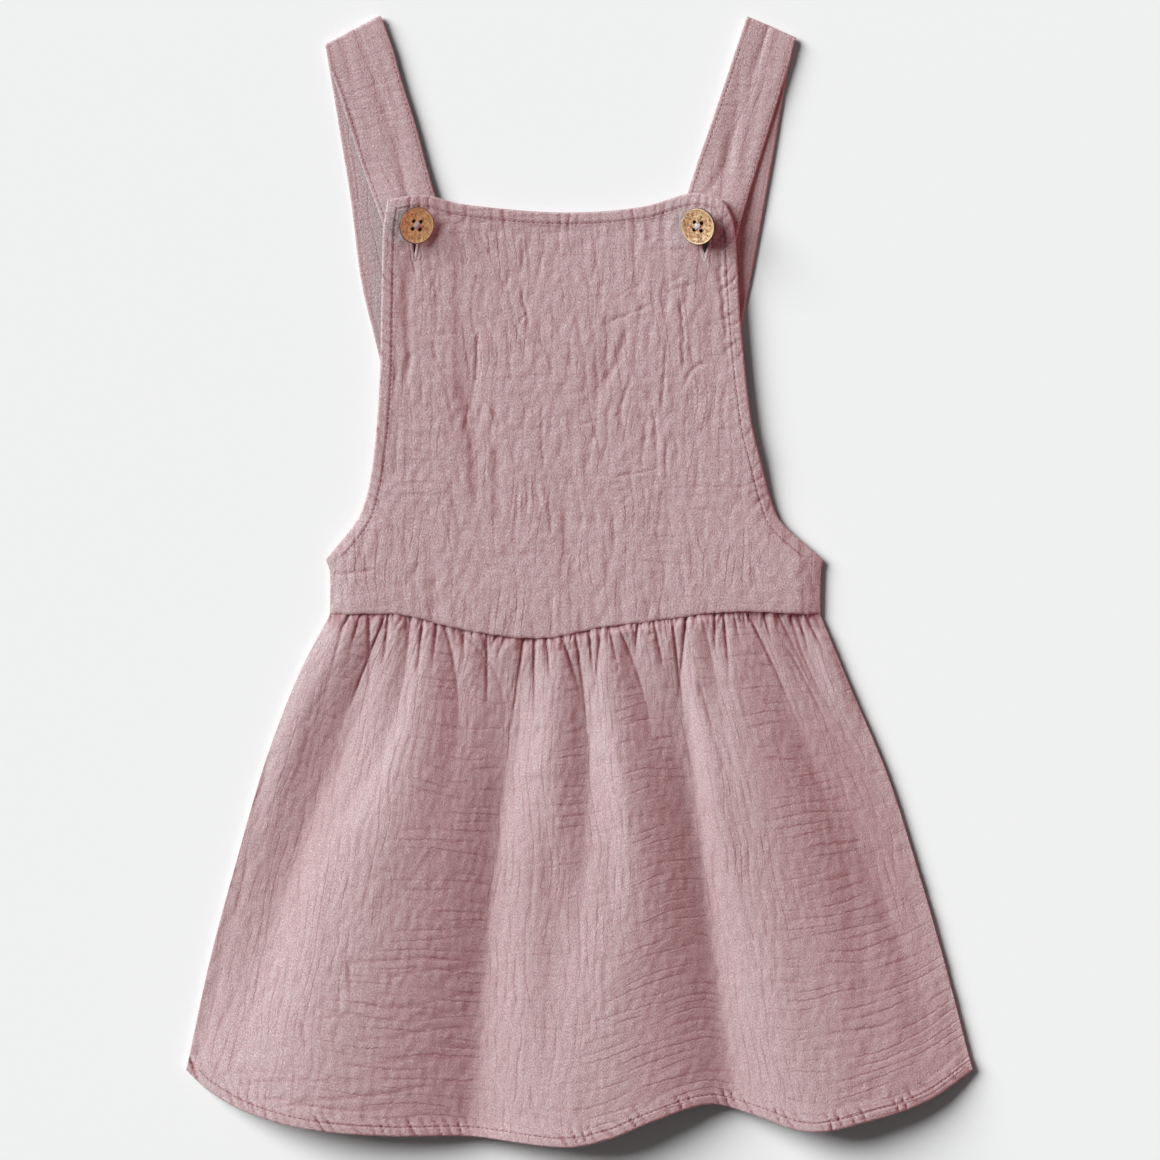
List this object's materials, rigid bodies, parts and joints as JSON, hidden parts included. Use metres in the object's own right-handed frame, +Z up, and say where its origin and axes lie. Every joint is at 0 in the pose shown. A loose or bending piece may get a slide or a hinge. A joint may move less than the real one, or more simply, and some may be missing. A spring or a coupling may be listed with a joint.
{
  "type": "child's pinafore dress laid flat",
  "caption": "Sleeveless bib dress for a small child with a gathered skirt and buttoned shoulder straps, laid flat on its back.",
  "frame": {"origin": "on the surface that the dress lies on, under the middle of its box", "axes": "+Z up out of the surface, +X to the viewer's right across the dress, +Y along the dress towards the shoulders"},
  "size_m": [0.4246, 0.61, 0.0201],
  "materials": {
    "cloth": "dusty pink crinkled cotton double gauze",
    "button": "polished coconut shell"
  },
  "bodies": {
    "root": {"front_bodice": "cloth", "back_bodice": "cloth", "front_skirt": "cloth", "back_skirt": "cloth", "strap_left": "cloth", "strap_right": "cloth", "button_left": "button", "button_right": "button"}
  },
  "joints": []
}
